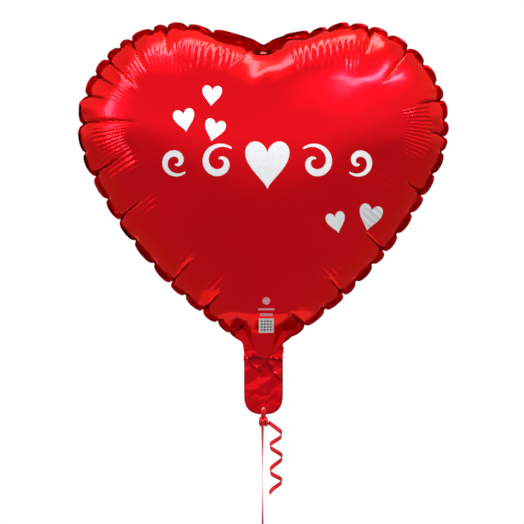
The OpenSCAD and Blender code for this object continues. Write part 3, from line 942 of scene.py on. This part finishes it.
# -------- prints
# Places and sizes of the prints in mm, and each heart's lean in degrees.
UPPER_HEARTS = [(-54, 264, 20.5, 4), (-83, 238, 22.5, -10), (-51, 227, 22, 14)]
LOWER_HEARTS = [(76, 131, 20.5, -14), (113, 137, 25.5, 12)]
MIDDLE = (4, 193)
PATCH, PATCH_SIZE = (3, 20), 16
DOTS = 4
INK_LIFT, TOP_INK_LIFT = 0.2 * MM, 0.4 * MM
OUTLINE_STEP = 1.0 * MM


def heart_loop(x, z, w, lean):
    """A slim hand-drawn heart, leaning clockwise."""
    t = np.arange(72) * 2 * pi / 72
    px = w / 2 * np.sin(t) ** 3
    pz = w * (0.49 * np.cos(t) - 0.21 * np.cos(2 * t) - 0.08 * np.cos(3 * t) - 0.02 * np.cos(4 * t))
    c, s = cos(radians(lean)), sin(radians(lean))
    loop = np.stack([x + px * c + pz * s, z + pz * c - px * s], 1) * MM
    return softened(resampled(loop, OUTLINE_STEP), 1)


def scroll_loop(x, z, r_eye, r_out, start, turn, least, most):
    """The outline of a spiral stroke that swells in its middle, with round ends."""
    u = np.linspace(0, 1, 90)
    a = np.radians(start + turn * u)
    r = r_eye + (r_out - r_eye) * u
    path = np.stack([x + r * np.cos(a), z + r * np.sin(a)], 1)
    along = unit(np.gradient(path, axis=0))
    across = np.stack([-along[:, 1], along[:, 0]], 1)
    half = (least + (most - least) * np.sin(np.pi * u))[:, None]
    cap = np.linspace(-pi / 2, pi / 2, 7)[1:-1]
    tip = [path[-1] + half[-1] * (across[-1] * -sin(c) + along[-1] * cos(c)) for c in cap]
    tail = [path[0] + half[0] * (across[0] * sin(c) - along[0] * cos(c)) for c in cap]
    loop = np.vstack([path + across * half, tip, (path - across * half)[::-1], tail]) * MM
    return resampled(loop, OUTLINE_STEP)


def plain_disc(x, z, r, n=28):
    return circle(x * MM, z * MM, r * MM, n)


def plain_bar(x, z, w, h):
    right, left, top, low = x + w / 2, x - w / 2, z + h / 2, z - h / 2
    return resampled(np.array([[left, top], [right, top], [right, low], [left, low]]) * MM, OUTLINE_STEP)


def print_on(name, surface, loops, lift):
    """Ink inside the loops, laid on the surface and standing off it by the lift."""
    points, faces, base = [], [], 0
    for number, loop in enumerate(loops):
        flat, tris = triangles_in([loop], [], 1.2 * MM, number)
        faces += [tuple(base + i for i in t) for t in tris]
        for x, z in flat:
            hit, normal, _, _ = surface.ray_cast(Vector((x, -0.5, z)), Vector((0, 1, 0)))
            if hit is None:
                raise RuntimeError(f"{name} is not over the front film")
            points.append(hit + Vector((0, -lift, 0)))
        base += len(flat)
    return add_piece(name, points, faces)


def make_prints(front, white, pale, dark):
    mesh = front.data
    surface = BVHTree.FromPolygons([v.co for v in mesh.vertices], [tuple(p.vertices) for p in mesh.polygons])
    x, z = MIDDLE
    scrolls = [scroll_loop(x + s * 50, z - 1, 4, 19, 90, s * 400, 0.9, 3.6) for s in (-1, 1)]
    scrolls += [scroll_loop(x + s * 96, z, 3, 15, -90, -s * 400, 0.9, 3.2) for s in (-1, 1)]
    pitch = PATCH_SIZE / (DOTS + 1)
    places = [pitch * (i - (DOTS - 1) / 2) for i in range(DOTS)]
    grid = [plain_disc(PATCH[0] + across, PATCH[1] + up, 1.0, 16) for across in places for up in places]
    marks = [plain_disc(3, 47, 4), plain_bar(3, 38, 17, 2), plain_bar(3, 32, 13, 3)]
    for name, loops, lift, ink, slot in (
            ("hearts_upper", [heart_loop(*h) for h in UPPER_HEARTS], INK_LIFT, white, "white_ink"),
            ("hearts_lower", [heart_loop(*h) for h in LOWER_HEARTS], INK_LIFT, white, "white_ink"),
            ("flourish", [heart_loop(x, z, 46, 0)] + scrolls, INK_LIFT, white, "white_ink"),
            ("marks", marks, INK_LIFT, pale, "pale_ink"),
            ("patch", [plain_bar(*PATCH, PATCH_SIZE, PATCH_SIZE)], INK_LIFT, white, "white_ink"),
            ("dots", grid, TOP_INK_LIFT, dark, "dark_ink")):
        finish(print_on(name, surface, loops, lift), ink, slot, "balloon", f"print_{name}")


# -------- materials
class Nodes:
    """The nodes of a material or a world, with short names for those that are needed."""

    def __init__(self, owner, place):
        owner.use_nodes = True
        self.tree = owner.node_tree
        self.shader = next(n for n in self.tree.nodes if n.type in ("BSDF_PRINCIPLED", "BACKGROUND"))
        self.place = self.add("ShaderNodeTexCoord").outputs[place]

    def add(self, kind, **inputs):
        node = self.tree.nodes.new(kind)
        for key, value in inputs.items():
            self.put(node.inputs[key.replace("_", " ")], value)
        return node

    def put(self, socket, value):
        if isinstance(value, bpy.types.NodeSocket):
            self.tree.links.new(value, socket)
        else:
            socket.default_value = value

    def noise(self, scale, detail=3.0, rough=0.5, stretch=None):
        place = self.place
        if stretch:
            place = self.add("ShaderNodeMapping", Vector=place, Scale=stretch).outputs["Vector"]
        node = self.add("ShaderNodeTexNoise", Vector=place, Scale=scale, Detail=detail, Roughness=rough)
        return node.outputs["Fac"]

    def ramp(self, fac, stops):
        node = self.add("ShaderNodeValToRGB", Fac=fac)
        elements = node.color_ramp.elements
        while len(elements) < len(stops):
            elements.new(0.5)
        for element, (at, colour) in zip(elements, stops):
            element.position = at
            element.color = (*colour, 1)
        return node.outputs["Color"]

    def mixed(self, fac, first, second):
        node = self.add("ShaderNodeMix")
        node.data_type = "RGBA"
        self.put(node.inputs["Factor"], fac)
        colours = [socket for socket in node.inputs if socket.type == "RGBA"]
        self.put(colours[0], first)
        self.put(colours[1], second)
        return next(socket for socket in node.outputs if socket.type == "RGBA")

    def product(self, first, second):
        node = self.add("ShaderNodeMath")
        node.operation = "MULTIPLY"
        self.put(node.inputs[0], first)
        self.put(node.inputs[1], second)
        return node.outputs[0]

    def scaled(self, fac, low, high):
        return self.add("ShaderNodeMapRange", Value=fac, To_Min=low, To_Max=high).outputs["Result"]

    def bump(self, height, strength, distance, normal=None):
        node = self.add("ShaderNodeBump", Height=height, Strength=strength, Distance=distance)
        if normal is not None:
            self.put(node.inputs["Normal"], normal)
        return node.outputs["Normal"]

    def shade(self, **inputs):
        for key, value in inputs.items():
            self.put(self.shader.inputs[key.replace("_", " ")], value)


class Material(Nodes):
    """A material under construction. Calling it with an object puts it on that object."""

    def __init__(self, name):
        self.mat = bpy.data.materials.new(name)
        super().__init__(self.mat, "Object")

    def __call__(self, obj):
        obj.data.materials.clear()
        obj.data.materials.append(self.mat)


# Colour of the painted shade at the bottom of the creases.
CREASE_SHADE_COLOUR = (0.1, 0.0, 0.002, 1)
FOIL_TINT = (0.9, 0.03, 0.05, 1)


def foil_material(name, light, deep, rough, coat, grain):
    """Metallised film: tinted metal under a thin clear layer, with haze, rolling marks, fine grain and
    painted shade in its creases.
    """
    m = Material(name)
    haze = m.noise(9, 4, 0.55)
    streaks = m.noise(45, 3, 0.6, (1, 1, 0.12))
    # The fold attribute is painted crease shade: it mixes the foil's colour towards the shade colour.
    fold = m.add("ShaderNodeAttribute")
    fold.attribute_name = "fold"
    colour = m.mixed(fold.outputs["Fac"], m.ramp(haze, [(0.3, deep), (0.7, light)]), CREASE_SHADE_COLOUR)
    uneven = m.product(haze, m.noise(60, 3, 0.6))
    m.shade(Base_Color=colour, Metallic=1.0, Roughness=m.scaled(uneven, rough - 0.05, rough + 0.09))
    m.shade(Coat_Weight=coat, Coat_Roughness=0.16, Coat_IOR=1.5, Specular_Tint=FOIL_TINT)
    m.shade(Normal=m.bump(streaks, 0.12, 0.0006, m.bump(m.noise(900, 2, 0.5), grain, 0.00004)))
    return m


def ink_material(name, colour, worn, rough):
    """Screen-printed ink: matte, a little uneven in cover."""
    m = Material(name)
    cover = m.noise(220, 4, 0.6)
    m.shade(Base_Color=m.ramp(cover, [(0.25, worn), (0.55, colour)]), Roughness=rough, Metallic=0.0)
    m.shade(Normal=m.bump(m.noise(1500, 2), 0.15, 0.00005), Specular_IOR_Level=0.35)
    return m


def clear_material(name):
    """Clear valve film, milky where it is creased."""
    m = Material(name)
    m.shade(Base_Color=m.ramp(m.noise(70, 3), [(0.3, (0.78, 0.79, 0.8)), (0.7, (0.92, 0.92, 0.93))]))
    m.shade(Metallic=0.0, Roughness=m.scaled(m.noise(140, 3), 0.15, 0.35), Alpha=0.55)
    m.shade(Normal=m.bump(m.noise(260, 4), 0.2, 0.0004))
    return m


def coating_material(name):
    """Chalky release coating."""
    m = Material(name)
    m.shade(Base_Color=m.ramp(m.noise(180, 4), [(0.3, (0.68, 0.68, 0.65)), (0.7, (0.84, 0.84, 0.81))]))
    m.shade(Roughness=0.8, Normal=m.bump(m.noise(700, 3), 0.25, 0.0002))
    return m


def ribbon_material(name):
    """Glossy curling ribbon: a lacquered film with faint lengthwise ribs."""
    m = Material(name)
    colour = m.ramp(m.noise(35, 3), [(0.3, (0.74, 0.0, 0.006)), (0.7, (0.92, 0.0, 0.01))])
    m.shade(Base_Color=colour, Metallic=0.75, Roughness=m.scaled(m.noise(90, 3), 0.16, 0.26))
    m.shade(Coat_Weight=0.45, Coat_Roughness=0.08)
    m.shade(Normal=m.bump(m.noise(300, 2, 0.5, (1, 1, 0.2)), 0.06, 0.0002))
    return m


def floor_material(name):
    """Matte light grey."""
    m = Material(name)
    grey = m.ramp(m.noise(3, 2), [(0.3, (0.6, 0.6, 0.6)), (0.7, (0.62, 0.62, 0.62))])
    m.shade(Base_Color=grey, Roughness=0.9)
    return m


# -------- studio
# How much brighter or dimmer the surroundings are by height, from straight below (0) to straight above (1).
WORLD_STOPS = [(0.0, 0.45), (0.22, 0.46), (0.44, 0.46), (0.54, 0.64), (0.66, 0.92), (1.0, 0.7)]
WORLD_SIDE = (0.6, 0.93)      # where they turn white, towards the back

# Lights, all aimed at the heart: name, place, size and watts.
AIM = (0, 0, 0.18)
LIGHTS = [
    ("top_soft", (-0.1, 0.2, 1.7), (1.5, 0.3), 36),
    ("key_right", (0.95, -0.7, 1.6), (1.2, 0.16), 30),
    ("left_strip", (-1.7, -0.3, 0.75), (0.25, 0.9), 12),
]


def make_floor(material):
    """A round floor, well below the balloon and behind it."""
    rings, cols, reach, level, back = 10, 64, 0.9, CAD_BOX[0][2] - 1.0, 0.75
    points, faces = [(0, back, level)], []
    for j in range(1, rings + 1):
        for i in range(cols):
            a, r = 2 * pi * i / cols, reach * j / rings
            points.append((r * cos(a), back + r * sin(a), level))
    faces += [(0, 1 + i, 1 + (i + 1) % cols) for i in range(cols)]
    for j in range(rings - 1):
        base = 1 + j * cols
        for i in range(cols):
            k = (i + 1) % cols
            faces.append((base + i, base + cols + i, base + cols + k, base + k))
    floor = add_piece("floor", points, faces)
    material(floor)


def make_world():
    """White behind the object. In front of it, brighter above and dimmer below, as in a small studio."""
    world = bpy.data.worlds.new("studio")
    SCENE.world = world
    w = Nodes(world, "Generated")
    direction = w.add("ShaderNodeSeparateXYZ", Vector=w.place).outputs
    height = w.add("ShaderNodeMapRange", Value=direction["Z"], From_Min=-1).outputs["Result"]
    front = w.ramp(height, [(at, (grey, grey, grey)) for at, grey in WORLD_STOPS])
    behind = w.add("ShaderNodeMapRange", Value=direction["Y"], From_Min=WORLD_SIDE[0], From_Max=WORLD_SIDE[1])
    behind.interpolation_type = "SMOOTHSTEP"
    w.shade(Color=w.mixed(behind.outputs["Result"], front, (1, 1, 1, 1)), Strength=1.0)


def make_lights():
    for name, place, size, watts in LIGHTS:
        light = bpy.data.lights.new(name, "AREA")
        light.shape = "RECTANGLE"
        light.size, light.size_y = size
        light.energy = watts
        obj = linked(name, light)
        obj.location = place
        obj.rotation_euler = (Vector(AIM) - Vector(place)).to_track_quat("-Z", "Y").to_euler()


# -------- the whole balloon
def main():
    make_camera()
    ribbon_red = ribbon_material("ribbon_red")
    make_ribbon(ribbon_red)
    make_curl(ribbon_red)
    make_tie(ribbon_red)
    foil = foil_material("red_foil", (0.95, 0.0, 0.010), (0.88, 0.0, 0.007), 0.22, 0.16, 0.2)
    # The weld is the same foil as the panels: this darker copy paints shade on it, with less coat and weaker
    # grain.
    rim = foil_material("red_foil_rim_shaded", (0.55, 0.0, 0.006), (0.4, 0.0, 0.004), 0.24, 0.06, 0.1)
    front, back, weld, area, size = make_film()
    foil(front)
    foil(back)
    rim(weld)
    for piece, nodes, slot in (
            (front, ("front_panel", "tail_front_film"), "foil"),
            (back, ("back_panel", "tail_back_film"), "foil"),
            (weld, ("rim_seal", "tail_side_seals", "tail_end_seal"), "foil_rim")):
        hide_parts(*nodes)
    make_prints(
        front, ink_material("white_ink", (0.82, 0.84, 0.86), (0.75, 0.75, 0.76), 0.55),
        ink_material("pale_ink", (0.86, 0.38, 0.42), (0.78, 0.2, 0.25), 0.55),
        ink_material("dark_ink", (0.05, 0.045, 0.045), (0.12, 0.1, 0.1), 0.6))
    make_valve(clear_material("clear_film"), coating_material("release_coating"))
    for piece in (front, back, weld):
        bend_with_tail(piece)
    make_floor(floor_material("floor_white"))
    make_world()
    make_lights()


SCENE.view_settings.view_transform = "Standard"
main()
